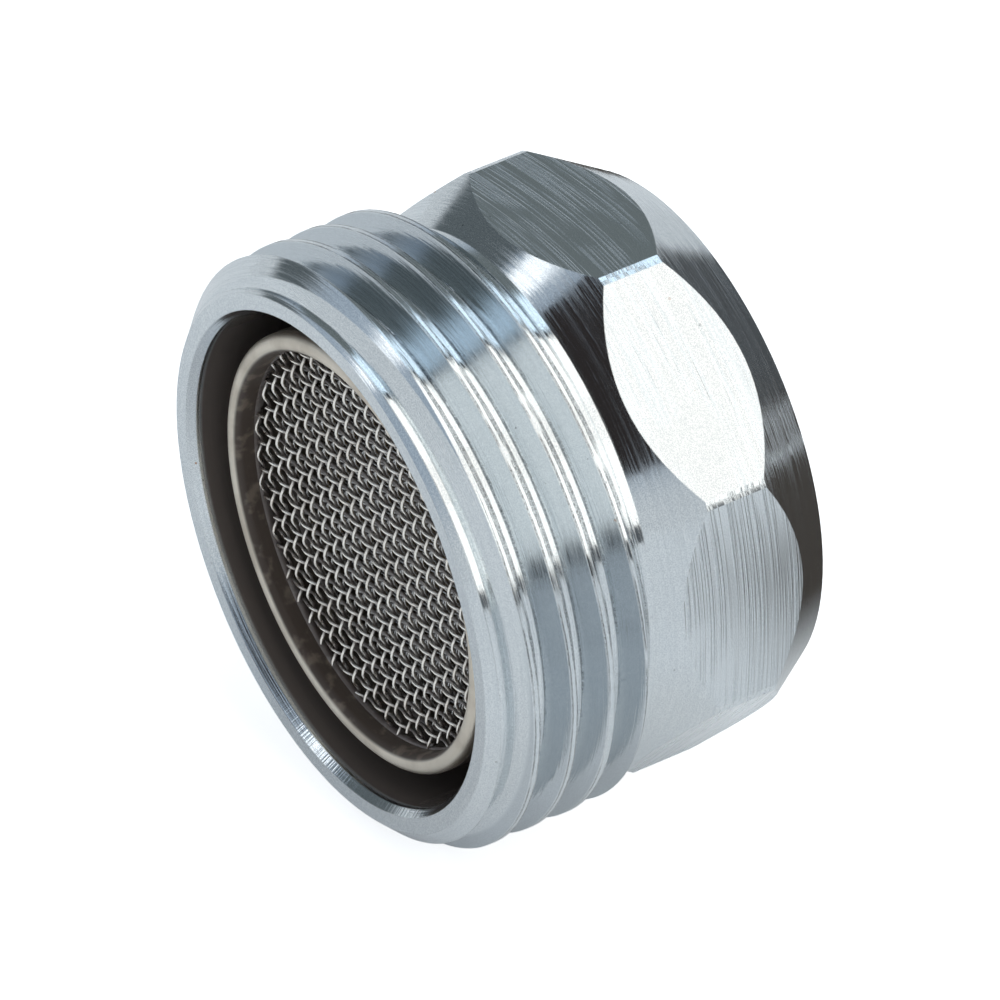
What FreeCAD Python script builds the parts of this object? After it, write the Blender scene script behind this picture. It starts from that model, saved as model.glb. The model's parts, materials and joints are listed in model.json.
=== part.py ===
"""Bubble jet adapter: a chromed body that screws onto a tap and takes a hose, with an air-mixing cartridge.

Every piece is drawn about its turning axis, as it would be on a lathe. Stations are distances along
that axis from the outlet face towards the tap. The finished pieces are then laid on their side.
"""
import FreeCAD, Part
import math
import os

from FreeCAD import Vector

# Hose thread, G 3/4: parallel Whitworth form, right-handed
HOSE_THREAD_D = 26.44
HOSE_THREAD_PITCH = 1.814
HOSE_THREAD_DEPTH = 1.162
THREAD_FLANK_ANGLE = 27.5
CREST_WIDTH = 0.302
# Where the cutter starts, ahead of the outlet face, and where it leaves into the neck
GROOVE_START = -1.05
GROOVE_END = 8.3
CUTTER_STAND_OFF = 0.2

# Body, outside; the collar's corners stand out a little beyond its flats and are turned off
BODY_LENGTH = 16.95
NOSE_CHAMFER = 1.3
FULL_THREAD_END = 7.1
NECK_DEPTH = 1.42
NECK_START = 8.1
NECK_END = 8.5
FRONT_CONE_ANGLE = 33.0
OCTAGON_SIDES = 8
OCTAGON_FLATS = 24.8
OCTAGON_TURNED_OVER = 1.87
REAR_CONE_LENGTH = 3.2
REAR_CONE_ANGLE = 31.5

# Body, inside; the outlet's wall is measured from the thread's crests to the bore
OUTLET_WALL = 2.29
OUTLET_BORE_CHAMFER = 0.35
OUTLET_BORE_CHAMFER_WIDTH = 0.26
LEDGE_START = 9.0
LEDGE_END = 10.0
# M22 x 1 female thread for the tap: its inner diameter, the relief behind it and the mouth chamfer
TAP_THREAD_MINOR_D = 20.92
RELIEF_DEPTH = 0.64
INLET_CHAMFER = 0.55

# Cartridge sleeve, drawn from sheet with a hemmed lip at the outlet and a flange at the tap side.
# Air reaches its windows from the outlet, through the gap between it and the bore
AIR_GAP = 1.2
LEDGE_CLEARANCE = 0.2
SLEEVE_WALL = 0.415
LIP_START = 0.98
LIP_LENGTH = 0.95
LIP_SHOULDER = 0.12
CARTRIDGE_CLEARANCE = 0.16
FLANGE_THICKNESS = 0.4
AIR_WINDOWS = 8
AIR_WINDOW_START = 6.4
AIR_WINDOW_LENGTH = 2.0
AIR_WINDOW_WIDTH = 3.4

# Wire screens, each with a flat rim, a layer of wires one way and a layer across
SCREEN_CLEARANCE = 0.06
SCREEN_THICKNESS = 0.36
SCREEN_RIM = 0.4
SCREEN_LAP = 0.04
SCREEN_WIRE = 0.2
OUTLET_SCREEN_WEFT = 9
OUTLET_SCREEN_WARP = 7
INNER_SCREEN_WEFT = 5
INNER_SCREEN_WARP = 4
WEFT_ANGLE = -4.9
WARP_ANGLE = 90.4
SPACER_HEIGHT = 1.0
SPACER_WIDTH = 0.4
CLAMP_RING_HEIGHT = 1.1
CLAMP_RING_GAP = 1.5

# Jet plate, deflector and filter cap
JET_PLATE_DEPTH = 0.7
JET_PLATE_FLANGE = 0.4
JET_HOLES = 8
JET_HOLE_D = 1.3
JET_CIRCLE_D = 13.6
STEM_D = 2.4
STEM_CLEARANCE = 0.05
DEFLECTOR_SHOULDER_D = 4.8
DEFLECTOR_D = 15.2
DEFLECTOR_FLARE = 1.8
DEFLECTOR_RIM = 0.5
DEFLECTOR_HOLLOW_D = 9.0
RIVET_HEAD_D = 3.8
RIVET_HEAD_HEIGHT = 0.4
CAP_D = 16.4
CAP_TOP_D = 13.0
CAP_WALL = 0.3
CAP_RISE = 1.3
CAP_SLOTS = 12
CAP_SLOT_WIDTH = 0.8
CAP_SLOT_FROM = 2.4
CAP_SLOT_TO = 5.9

# Rubber washer at the bottom of the tap thread
WASHER_BORE_D = 17.2
WASHER_THICKNESS = 1.4

AXIS = Vector(0, 0, 1)
CENTRE = Vector(0, 0, 0)
MARGIN = 1.0

# Radii and stations that follow from the sizes above
thread_r = HOSE_THREAD_D / 2
turned_r = (OCTAGON_FLATS + OCTAGON_TURNED_OVER) / 2
outlet_bore_r = thread_r - OUTLET_WALL
tap_r = TAP_THREAD_MINOR_D / 2
sleeve_r = outlet_bore_r - AIR_GAP
sleeve_inner_r = sleeve_r - SLEEVE_WALL
insert_r = sleeve_inner_r - SCREEN_CLEARANCE
flange_r = tap_r - CARTRIDGE_CLEARANCE

outlet_screen_start = LIP_START + LIP_LENGTH
outer_spacer_start = outlet_screen_start + SCREEN_THICKNESS
middle_screen_start = outer_spacer_start + SPACER_HEIGHT
inner_spacer_start = middle_screen_start + SCREEN_THICKNESS
inner_screen_start = inner_spacer_start + SPACER_HEIGHT
clamp_ring_start = inner_screen_start + SCREEN_THICKNESS

jet_plate_flange_start = LEDGE_END + FLANGE_THICKNESS
jet_plate_start = jet_plate_flange_start - JET_PLATE_DEPTH
cap_start = jet_plate_flange_start + JET_PLATE_FLANGE
washer_start = cap_start + CAP_WALL
sealing_plane = washer_start + WASHER_THICKNESS


def half_section(points):
    """A flat face in the plane of the axis, through (radius, station) points joined by straight lines."""
    corners = [Vector(radius, 0, station) for radius, station in points]
    return Part.Face(Part.makePolygon(corners + corners[:1]))


def turned(section):
    """A half section turned about the axis."""
    return section.revolve(CENTRE, AXIS, 360)


def ring(outer_r, inner_r, start, height):
    """A plain ring."""
    outer = Part.makeCylinder(outer_r, height, Vector(0, 0, start))
    return outer.cut(Part.makeCylinder(inner_r, height, Vector(0, 0, start)))


def around(shape, count):
    """This many copies of a shape, evenly spaced about the axis."""
    count = round(count)
    copies = []
    for index in range(count):
        copy = shape.copy()
        copy.rotate(CENTRE, AXIS, 360.0 * index / count)
        copies.append(copy)
    return copies


def body_section():
    """The body's half section before the flats and the thread are cut."""
    face_r = thread_r - NOSE_CHAMFER
    neck_r = thread_r - NECK_DEPTH
    front_slope = math.tan(math.radians(FRONT_CONE_ANGLE))
    front_cone_end = NECK_END + (turned_r - neck_r) / front_slope
    rear_slope = math.tan(math.radians(REAR_CONE_ANGLE))
    rear_r = turned_r - REAR_CONE_LENGTH * rear_slope
    return half_section([
        (outlet_bore_r + OUTLET_BORE_CHAMFER_WIDTH, 0),
        (face_r, 0),
        (thread_r, NOSE_CHAMFER),
        (thread_r, FULL_THREAD_END),
        (neck_r, NECK_START),
        (neck_r, NECK_END),
        (turned_r, front_cone_end),
        (turned_r, BODY_LENGTH - REAR_CONE_LENGTH),
        (rear_r, BODY_LENGTH),
        (tap_r + INLET_CHAMFER, BODY_LENGTH),
        (tap_r, BODY_LENGTH - INLET_CHAMFER),
        (tap_r, sealing_plane),
        (tap_r + RELIEF_DEPTH, sealing_plane),
        (tap_r + RELIEF_DEPTH, LEDGE_END),
        (sleeve_r + LEDGE_CLEARANCE, LEDGE_END),
        (sleeve_r + LEDGE_CLEARANCE, LEDGE_START),
        (outlet_bore_r, LEDGE_START),
        (outlet_bore_r, OUTLET_BORE_CHAMFER),
    ])


def hose_thread_groove():
    """The helical groove of the hose thread, as one solid to cut away."""
    root_r = thread_r - HOSE_THREAD_DEPTH
    outer_r = thread_r + CUTTER_STAND_OFF
    slope = math.tan(math.radians(THREAD_FLANK_ANGLE))
    crest_half = (HOSE_THREAD_PITCH - CREST_WIDTH) / 2
    root_half = crest_half - HOSE_THREAD_DEPTH * slope
    outer_half = crest_half + CUTTER_STAND_OFF * slope
    corners = [
        Vector(root_r, 0, -root_half),
        Vector(outer_r, 0, -outer_half),
        Vector(outer_r, 0, outer_half),
        Vector(root_r, 0, root_half),
    ]
    profile = Part.makePolygon(corners + corners[:1])
    helix = Part.makeHelix(HOSE_THREAD_PITCH, GROOVE_END - GROOVE_START, thread_r)
    groove = Part.Wire(helix.Edges).makePipeShell([profile], True, True)
    groove.translate(Vector(0, 0, GROOVE_START))
    return groove


def threaded_bar():
    """A plain bar with the hose thread cut in it, longer than the body's thread at both ends."""
    ahead = 2 * HOSE_THREAD_PITCH
    length = ahead + GROOVE_END + HOSE_THREAD_PITCH
    bar = Part.makeCylinder(thread_r, length, Vector(0, 0, -ahead))
    return bar.cut(hose_thread_groove())


def octagonal_bar():
    """An eight-sided bar from the neck to the inlet, with a flat across the row's lowest side."""
    corner_r = OCTAGON_FLATS / 2 / math.cos(math.pi / OCTAGON_SIDES)
    corners = []
    for index in range(OCTAGON_SIDES):
        angle = math.tau * (index + 0.5) / OCTAGON_SIDES
        corners.append(Vector(corner_r * math.cos(angle), corner_r * math.sin(angle), NECK_END))
    outline = Part.makePolygon(corners + corners[:1])
    return Part.Face(outline).extrude(Vector(0, 0, BODY_LENGTH - NECK_END))


def threaded_body():
    """The body: turned, its eight flats cut, then threaded for the hose."""
    blank = turned(body_section())
    hose_end = Part.makeCylinder(2 * thread_r, NECK_END)
    collar = blank.common(octagonal_bar())
    return blank.common(hose_end).common(threaded_bar()).fuse(collar)


def cartridge_sleeve():
    """The drawn sleeve: a lip folded in and back at the outlet, air windows, and a flange."""
    lip_r = sleeve_r - 2 * SLEEVE_WALL
    fold_station = LIP_START + SLEEVE_WALL
    sleeve = turned(half_section([
        (lip_r, fold_station),
        (lip_r, outlet_screen_start),
        (sleeve_inner_r, outlet_screen_start),
        (sleeve_inner_r, jet_plate_flange_start),
        (flange_r, jet_plate_flange_start),
        (flange_r, LEDGE_END),
        (sleeve_r, LEDGE_END),
        (sleeve_r, fold_station),
        (sleeve_r - LIP_SHOULDER, LIP_START + LIP_SHOULDER),
        (sleeve_inner_r + LIP_SHOULDER, LIP_START),
        (sleeve_inner_r - LIP_SHOULDER, LIP_START),
        (lip_r + LIP_SHOULDER, LIP_START + LIP_SHOULDER),
    ]))
    window = Part.makeBox(
        2 * SLEEVE_WALL + MARGIN, AIR_WINDOW_WIDTH, AIR_WINDOW_LENGTH,
        Vector(sleeve_inner_r - MARGIN, -AIR_WINDOW_WIDTH / 2, AIR_WINDOW_START),
    )
    return sleeve.cut(Part.makeCompound(around(window, AIR_WINDOWS)))


def wire_layer(count, angle, start, thickness):
    """One layer of a screen: parallel wires across it at an angle, cut off in the middle of its rim."""
    count = round(count)
    reach = insert_r - SCREEN_RIM / 2
    pitch = 2 * reach / count
    wires = []
    for index in range(count):
        offset = (index + 0.5) * pitch - reach
        half_length = math.sqrt(reach ** 2 - offset ** 2)
        corner = Vector(-half_length, offset - SCREEN_WIRE / 2, start)
        wire = Part.makeBox(2 * half_length, SCREEN_WIRE, thickness, corner)
        wire.rotate(CENTRE, AXIS, angle)
        wires.append(wire)
    return wires


def wire_screen(start, weft, warp):
    """A wire screen: wires one way sunk into the wires across them, in a pressed rim."""
    layer = (SCREEN_THICKNESS + SCREEN_LAP) / 2
    rim = ring(insert_r, insert_r - SCREEN_RIM, start, SCREEN_THICKNESS)
    weft_wires = wire_layer(weft, WEFT_ANGLE, start, layer)
    warp_wires = wire_layer(warp, WARP_ANGLE, start + SCREEN_THICKNESS - layer, layer)
    return rim.multiFuse(weft_wires + warp_wires)


def spacer_ring(start):
    """A ring that keeps two screens apart."""
    return ring(insert_r, insert_r - SPACER_WIDTH, start, SPACER_HEIGHT)


def screen_clamp_ring():
    """The split ring that presses the screens against the sleeve's lip."""
    clamp = ring(insert_r, insert_r - SPACER_WIDTH, clamp_ring_start, CLAMP_RING_HEIGHT)
    gap = Part.makeBox(
        2 * insert_r, CLAMP_RING_GAP, CLAMP_RING_HEIGHT,
        Vector(0, -CLAMP_RING_GAP / 2, clamp_ring_start),
    )
    return clamp.cut(gap)


def jet_plate():
    """The perforated plate that breaks the flow into jets; its flange sits on the sleeve's."""
    depth = JET_PLATE_DEPTH + JET_PLATE_FLANGE
    base = Vector(0, 0, jet_plate_start)
    plate = Part.makeCylinder(insert_r, depth, base).fuse(Part.makeCylinder(
        flange_r, JET_PLATE_FLANGE, Vector(0, 0, jet_plate_flange_start)
    ))
    stem_hole = Part.makeCylinder(STEM_D / 2 + STEM_CLEARANCE, depth, base)
    jet = Part.makeCylinder(JET_HOLE_D / 2, depth, base + Vector(JET_CIRCLE_D / 2, 0, 0))
    return plate.cut(Part.makeCompound([stem_hole] + around(jet, JET_HOLES)))


def deflector_cone():
    """The flared cone under the jet plate that spreads the jets, its stem riveted over on top."""
    flare_end = jet_plate_start - DEFLECTOR_FLARE
    return turned(half_section([
        (0, jet_plate_start - DEFLECTOR_RIM),
        (DEFLECTOR_HOLLOW_D / 2, flare_end - DEFLECTOR_RIM),
        (DEFLECTOR_D / 2, flare_end - DEFLECTOR_RIM),
        (DEFLECTOR_D / 2, flare_end),
        (DEFLECTOR_SHOULDER_D / 2, jet_plate_start),
        (STEM_D / 2, jet_plate_start),
        (STEM_D / 2, cap_start),
        (RIVET_HEAD_D / 2, cap_start),
        (STEM_D / 2, cap_start + RIVET_HEAD_HEIGHT),
        (0, cap_start + RIVET_HEAD_HEIGHT),
    ]))


def filter_cap():
    """The pressed strainer cap over the jet plate, with a flat rim under the washer."""
    foot_r = CAP_D / 2
    top_r = CAP_TOP_D / 2
    cap = turned(half_section([
        (foot_r - CAP_WALL, cap_start),
        (flange_r, cap_start),
        (flange_r, washer_start),
        (foot_r, washer_start),
        (top_r, washer_start + CAP_RISE),
        (0, washer_start + CAP_RISE),
        (0, cap_start + CAP_RISE),
        (top_r - CAP_WALL, cap_start + CAP_RISE),
    ]))
    slot = Part.makeBox(
        CAP_SLOT_TO - CAP_SLOT_FROM, CAP_SLOT_WIDTH, CAP_RISE + MARGIN,
        Vector(CAP_SLOT_FROM, -CAP_SLOT_WIDTH / 2, cap_start),
    )
    return cap.cut(Part.makeCompound(around(slot, CAP_SLOTS)))


def sealing_washer():
    """The flat rubber washer that the tap's end presses on."""
    return ring(flange_r, WASHER_BORE_D / 2, washer_start, WASHER_THICKNESS)


def laid_down(shape):
    """Turns a piece so that the axis lies along Y, with the middle of the sealing plane at the origin."""
    placed = shape.copy()
    placed.translate(Vector(0, 0, -sealing_plane))
    placed.rotate(CENTRE, Vector(1, 0, 0), -90)
    return placed


def pieces():
    """Every piece of the adapter by name, drawn about the upright axis."""
    return {
        "threaded_body": threaded_body(),
        "cartridge_sleeve": cartridge_sleeve(),
        "outlet_screen": wire_screen(outlet_screen_start, OUTLET_SCREEN_WEFT, OUTLET_SCREEN_WARP),
        "outer_spacer_ring": spacer_ring(outer_spacer_start),
        "middle_screen": wire_screen(middle_screen_start, INNER_SCREEN_WEFT, INNER_SCREEN_WARP),
        "inner_spacer_ring": spacer_ring(inner_spacer_start),
        "inner_screen": wire_screen(inner_screen_start, INNER_SCREEN_WEFT, INNER_SCREEN_WARP),
        "screen_clamp_ring": screen_clamp_ring(),
        "deflector_cone": deflector_cone(),
        "jet_plate": jet_plate(),
        "filter_cap": filter_cap(),
        "sealing_washer": sealing_washer(),
    }


def main():
    """Builds each piece and writes it to its own file."""
    os.makedirs("parts", exist_ok=True)
    for name, shape in pieces().items():
        solid = laid_down(shape)
        print(name, "solids", len(solid.Solids), "valid", solid.isValid(), "volume", round(solid.Volume, 2))
        solid.exportStep(os.path.join("parts", name + ".step"))


main()
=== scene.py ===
"""Looks of a bubble jet adapter: chrome over brass, a dull cartridge and woven wire screens.

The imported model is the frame. This script re-materials its nodes, weaves the three wire screens that the
model holds as crossed bars, rolls the lip of the cartridge, winds the tap's fine thread and sets the studio:
floor, surroundings and camera.
"""
import json
import logging
import math
from dataclasses import dataclass
from enum import Enum

import bmesh
import bpy
from mathutils import Matrix, Vector

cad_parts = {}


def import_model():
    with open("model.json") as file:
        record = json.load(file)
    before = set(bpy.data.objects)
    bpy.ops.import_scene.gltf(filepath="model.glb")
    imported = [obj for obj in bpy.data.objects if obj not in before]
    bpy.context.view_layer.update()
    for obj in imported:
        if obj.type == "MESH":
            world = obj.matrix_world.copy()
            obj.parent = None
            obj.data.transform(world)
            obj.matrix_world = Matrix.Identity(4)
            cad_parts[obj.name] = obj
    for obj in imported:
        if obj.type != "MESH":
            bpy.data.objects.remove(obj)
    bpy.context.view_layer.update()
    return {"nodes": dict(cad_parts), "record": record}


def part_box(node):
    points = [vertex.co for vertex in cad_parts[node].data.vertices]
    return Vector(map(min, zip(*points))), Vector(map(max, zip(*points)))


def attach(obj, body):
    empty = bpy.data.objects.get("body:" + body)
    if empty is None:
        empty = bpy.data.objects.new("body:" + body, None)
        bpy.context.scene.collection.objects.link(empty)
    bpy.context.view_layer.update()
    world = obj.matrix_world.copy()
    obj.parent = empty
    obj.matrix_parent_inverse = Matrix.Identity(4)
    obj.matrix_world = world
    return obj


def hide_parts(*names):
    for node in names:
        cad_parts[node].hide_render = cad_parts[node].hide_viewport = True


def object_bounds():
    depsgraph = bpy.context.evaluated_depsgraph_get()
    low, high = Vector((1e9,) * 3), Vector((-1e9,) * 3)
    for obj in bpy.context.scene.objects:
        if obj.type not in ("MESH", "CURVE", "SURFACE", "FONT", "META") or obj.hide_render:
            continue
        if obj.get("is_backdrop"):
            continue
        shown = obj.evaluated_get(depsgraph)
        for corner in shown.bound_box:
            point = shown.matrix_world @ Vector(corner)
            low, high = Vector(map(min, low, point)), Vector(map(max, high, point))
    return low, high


MM = 0.001
BODY = "root"
LOG = logging.getLogger("bubble_jet_adapter")
Colour = tuple[float, float, float, float]
Span = tuple[float, float]

# Stations are distances in millimetres from the outlet face, along the turning axis
OUTLET_FACE_Y = -12.5
NECK_STATION = 8.5
HOSE_THREAD_PITCH = 1.814
# where a crest of the hose thread crosses straight above the axis
HOSE_CREST_STATION = 3.03
COLLAR_SIDES = 8
COLLAR_FLATS = 24.8


class Slot(Enum):
    """The record's material slots."""

    CHROME = "chromed_brass"
    SLEEVE = "sleeve_metal"
    WIRE = "screen_wire"
    RING = "inner_metal"
    BRASS = "brass_insert"
    RUBBER = "washer_rubber"


class Blend(Enum):
    """How two heights or shades are put together."""

    ADD = "ADD"
    MULTIPLY = "MULTIPLY"
    SUBTRACT = "SUBTRACT"
    DIVIDE = "DIVIDE"
    MAXIMUM = "MAXIMUM"
    POWER = "POWER"
    GREATER = "GREATER_THAN"
    LESS = "LESS_THAN"
    ARCTAN2 = "ARCTAN2"
    ROUND = "ROUND"
    MODULO = "FLOORED_MODULO"


class Sketch:
    """A node tree that is written down step by step."""

    def __init__(self, tree: bpy.types.NodeTree) -> None:
        """Starts from an empty tree.

        Args:
            tree: the tree of a material or of the world.
        """
        self.tree = tree
        self.tree.nodes.clear()

    def node(self, kind: str, **settings: object) -> bpy.types.Node:
        """Adds a node.

        Args:
            kind: the node's type name.
            settings: properties of the node, by name.

        Returns:
            The new node.
        """
        made = self.tree.nodes.new(kind)
        for name, value in settings.items():
            setattr(made, name, value)
        return made

    def feed(self, socket: bpy.types.NodeSocket, value: object) -> None:
        """Links a socket to an output, or sets its constant.

        Args:
            socket: the input.
            value: an output socket, a number or a tuple.
        """
        if isinstance(value, bpy.types.NodeSocket):
            self.tree.links.new(value, socket)
        else:
            socket.default_value = value

    def math(self, how: Blend, first: object, second: object = 0.0) -> bpy.types.NodeSocket:
        """Puts two numbers together.

        Args:
            how: the operation.
            first: an output or a number.
            second: an output or a number.

        Returns:
            The result's socket.
        """
        made = self.node("ShaderNodeMath", operation=how.value)
        self.feed(made.inputs[0], first)
        self.feed(made.inputs[1], second)
        return made.outputs[0]

    def times(self, *factors: object) -> bpy.types.NodeSocket:
        """Multiplies numbers.

        Args:
            factors: two or more outputs or numbers.

        Returns:
            The product's socket.
        """
        product = factors[0]
        for factor in factors[1:]:
            product = self.math(Blend.MULTIPLY, product, factor)
        return product

    def dot(self, vector: object, axis: Vector) -> bpy.types.NodeSocket:
        """The share of a vector along an axis.

        Args:
            vector: an output socket.
            axis: the axis.

        Returns:
            The dot product's socket.
        """
        made = self.node("ShaderNodeVectorMath", operation="DOT_PRODUCT")
        self.feed(made.inputs[0], vector)
        self.feed(made.inputs[1], tuple(axis))
        return made.outputs["Value"]

    def step(self, value: object, low: float, high: float) -> bpy.types.NodeSocket:
        """A smooth step from 0 at low to 1 at high; low may be the larger.

        Args:
            value: an output socket.
            low: where the step starts.
            high: where it ends.

        Returns:
            The step's socket.
        """
        made = self.node("ShaderNodeMapRange", interpolation_type="SMOOTHSTEP", clamp=True)
        self.feed(made.inputs["Value"], value)
        flipped = low > high
        self.feed(made.inputs["From Min"], min(low, high))
        self.feed(made.inputs["From Max"], max(low, high))
        self.feed(made.inputs["To Min"], 1.0 if flipped else 0.0)
        self.feed(made.inputs["To Max"], 0.0 if flipped else 1.0)
        return made.outputs["Result"]

    def between(self, value: object, low: float, high: float, soft: float) -> bpy.types.NodeSocket:
        """1 where a value lies in a range, with soft ends.

        Args:
            value: an output socket.
            low: the range's lower end.
            high: its upper end.
            soft: the width over which each end fades.

        Returns:
            The mask's socket.
        """
        return self.times(self.step(value, low - soft, low), self.step(value, high + soft, high))

    def vector(self, x: object, y: object, z: object) -> bpy.types.NodeSocket:
        """Puts three numbers into a vector.

        Args:
            x: an output or a number.
            y: an output or a number.
            z: an output or a number.

        Returns:
            The vector's socket.
        """
        made = self.node("ShaderNodeCombineXYZ")
        for socket, value in zip(made.inputs, (x, y, z)):
            self.feed(socket, value)
        return made.outputs[0]

    def noise(self, place: object, scale: float, detail: float) -> bpy.types.NodeSocket:
        """Smooth noise between about 0.25 and 0.75.

        Args:
            place: the vector to read it at.
            scale: features per unit of the vector.
            detail: octaves.

        Returns:
            The noise's socket.
        """
        made = self.node("ShaderNodeTexNoise")
        self.feed(made.inputs["Vector"], place)
        self.feed(made.inputs["Scale"], scale)
        self.feed(made.inputs["Detail"], detail)
        return made.outputs["Fac"]

    def shade(self, amount: object, first: object, second: object) -> bpy.types.NodeSocket:
        """Mixes two colours.

        Args:
            amount: 0 for the first, 1 for the second.
            first: a colour or an output.
            second: a colour or an output.

        Returns:
            The colour's socket.
        """
        return self.mix("RGBA", amount, first, second)

    def mix(self, kind: str, amount: object, first: object, second: object) -> bpy.types.NodeSocket:
        """Mixes two colours or two numbers.

        Args:
            kind: RGBA or FLOAT.
            amount: 0 for the first, 1 for the second.
            first: an output or a constant.
            second: an output or a constant.

        Returns:
            The result's socket.
        """
        made = self.node("ShaderNodeMix", data_type=kind)
        self.feed(made.inputs["Factor"], amount)
        self.feed(made.inputs["A"], first)
        self.feed(made.inputs["B"], second)
        return made.outputs["Result"]

    def spread(
        self, value: object, given: Span, wanted: tuple[object, object]
    ) -> bpy.types.NodeSocket:
        """Carries a value from one range over to another, and keeps it there.

        Args:
            value: an output socket.
            given: the ends of its range.
            wanted: what the ends become.

        Returns:
            The new value's socket.
        """
        made = self.node("ShaderNodeMapRange", clamp=True)
        self.feed(made.inputs["Value"], value)
        self.feed(made.inputs["From Min"], given[0])
        self.feed(made.inputs["From Max"], given[1])
        self.feed(made.inputs["To Min"], wanted[0])
        self.feed(made.inputs["To Max"], wanted[1])
        return made.outputs["Result"]

    def relief(
        self, height: object, distance: object, under: object = None, strength: float = 1.0
    ) -> bpy.types.NodeSocket:
        """Lays a relief over a normal.

        Args:
            height: the relief, from 0 to 1.
            distance: its full height in metres.
            under: the normal so far, or None for the surface's own.
            strength: how much of the relief is taken.

        Returns:
            The new normal.
        """
        made = self.node("ShaderNodeBump")
        self.feed(made.inputs["Strength"], strength)
        self.feed(made.inputs["Distance"], distance)
        self.feed(made.inputs["Height"], height)
        if under is not None:
            self.feed(made.inputs["Normal"], under)
        return made.outputs["Normal"]


@dataclass(frozen=True)
class Turned:
    """Places on a turned piece, in millimetres and turns."""

    station: bpy.types.NodeSocket
    radius: bpy.types.NodeSocket
    turn: bpy.types.NodeSocket
    around: bpy.types.NodeSocket


def turned_places(sketch: Sketch) -> Turned:
    """Works out stations, radii and turns from the object's own coordinates.

    Args:
        sketch: the material that needs them.

    Returns:
        The sockets.
    """
    place = sketch.node("ShaderNodeTexCoord").outputs["Object"]
    parts = sketch.node("ShaderNodeSeparateXYZ")
    sketch.feed(parts.inputs[0], place)
    along = sketch.math(Blend.DIVIDE, parts.outputs["Y"], MM)
    station = sketch.math(Blend.SUBTRACT, along, OUTLET_FACE_Y)
    across = sketch.vector(parts.outputs["X"], 0.0, parts.outputs["Z"])
    length = sketch.node("ShaderNodeVectorMath", operation="LENGTH")
    sketch.feed(length.inputs[0], across)
    radius = sketch.math(Blend.DIVIDE, length.outputs["Value"], MM)
    angle = sketch.math(Blend.ARCTAN2, parts.outputs["X"], parts.outputs["Z"])
    turn = sketch.math(Blend.DIVIDE, angle, math.tau)
    return Turned(station, radius, turn, across)


def new_material(name: str) -> tuple[bpy.types.Material, Sketch, bpy.types.Node]:
    """Starts a material with a principled shader.

    Args:
        name: the material's name.

    Returns:
        The material, its sketch and its shader.
    """
    material = bpy.data.materials.new(name)
    material.use_nodes = True
    sketch = Sketch(material.node_tree)
    shader = sketch.node("ShaderNodeBsdfPrincipled")
    output = sketch.node("ShaderNodeOutputMaterial")
    sketch.feed(output.inputs["Surface"], shader.outputs[0])
    return material, sketch, shader


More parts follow.
